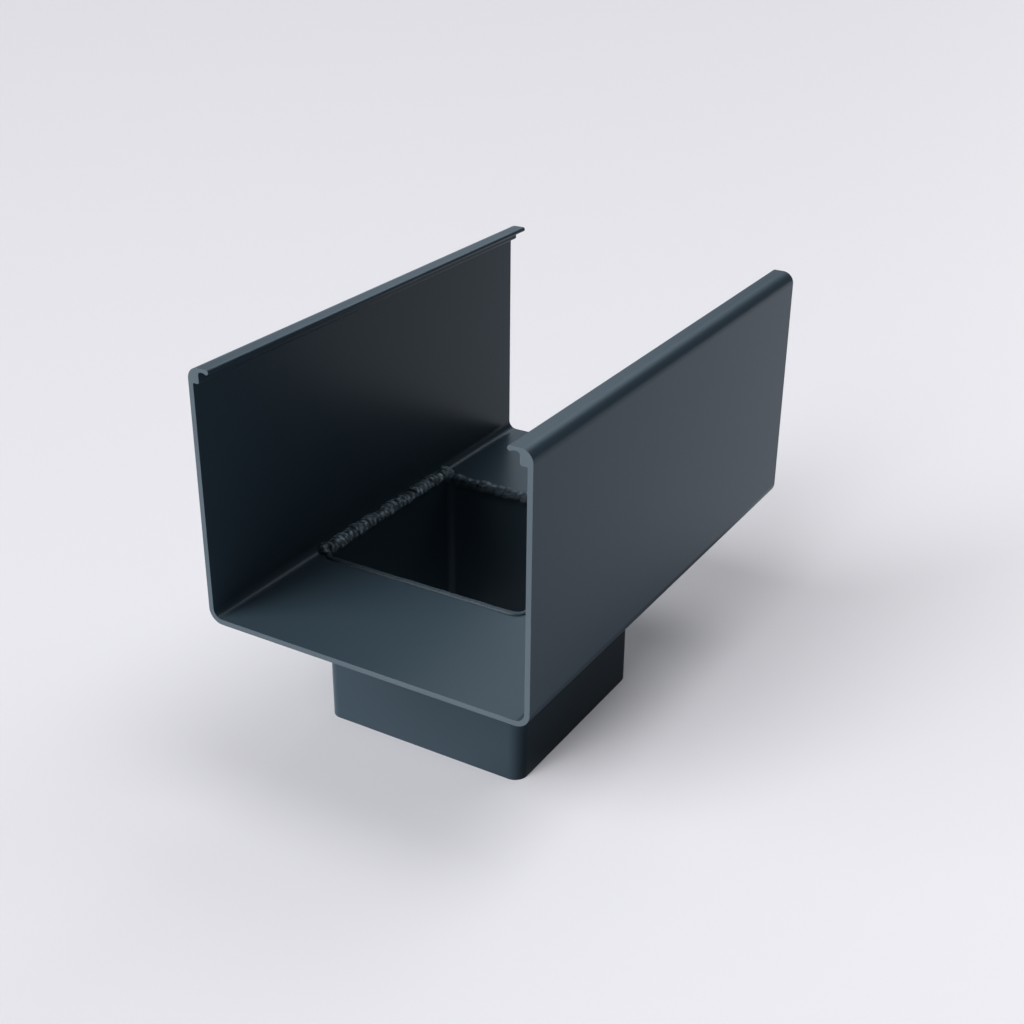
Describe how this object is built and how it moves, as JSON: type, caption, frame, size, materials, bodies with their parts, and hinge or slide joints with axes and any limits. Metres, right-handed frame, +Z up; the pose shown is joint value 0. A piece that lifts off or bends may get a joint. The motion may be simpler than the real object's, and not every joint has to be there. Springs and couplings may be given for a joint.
{
  "type": "box gutter outlet",
  "caption": "Open-ended box gutter channel with thin inward lips over clip grooves and a welded square downpipe spigot through its floor, set close to one side wall.",
  "frame": {"origin": "under the middle of the channel, at the level of the spigot's lower end", "axes": "+Z up, out of the channel's open top; Y along the channel; the spigot is set off towards -X"},
  "size_m": [0.1, 0.155, 0.1265],
  "materials": {
    "powder_coat": "fine satin powder coat, anthracite grey",
    "coated_weld": "rippled weld under the same powder coat"
  },
  "bodies": {
    "root": {"gutter_channel": "powder_coat", "outlet_spigot": "powder_coat", "weld_bead": "coated_weld"}
  },
  "joints": []
}
